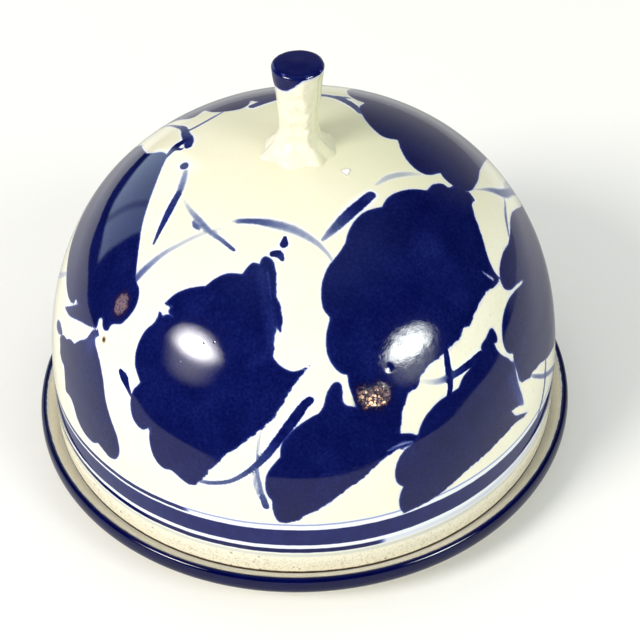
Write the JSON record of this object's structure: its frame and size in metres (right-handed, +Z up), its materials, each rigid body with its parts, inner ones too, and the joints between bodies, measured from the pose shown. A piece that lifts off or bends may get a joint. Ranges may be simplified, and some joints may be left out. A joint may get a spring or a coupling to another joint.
{
  "type": "butter crock",
  "caption": "Round covered butter dish: a shallow plate with a low upturned lip and foot ring, and a tall domed lid that lifts off by a flared knob on its crown.",
  "frame": {"origin": "centre of the foot ring, on the surface that the plate stands on", "axes": "+Z up along the axis of the plate, lid and knob; the front of the painted pattern faces -Y"},
  "size_m": [0.165, 0.165, 0.1305],
  "materials": {
    "plate_glaze": "glossy cream glaze with a cobalt-blue lip, unglazed foot ring",
    "lid_glaze": "glossy cream glaze, painted leaves and bands in cobalt blue under the glaze",
    "knob_glaze": "glossy cream glaze with a cobalt-blue top"
  },
  "bodies": {
    "plate": {"plate": "plate_glaze"},
    "lid": {"lid_dome": "lid_glaze", "lid_knob": "knob_glaze"}
  },
  "joints": [
    {"name": "lid_lift", "type": "slide", "parent": "plate", "child": "lid", "axis": [0, 0, 1], "range_m": [0, 0.1]}
  ]
}
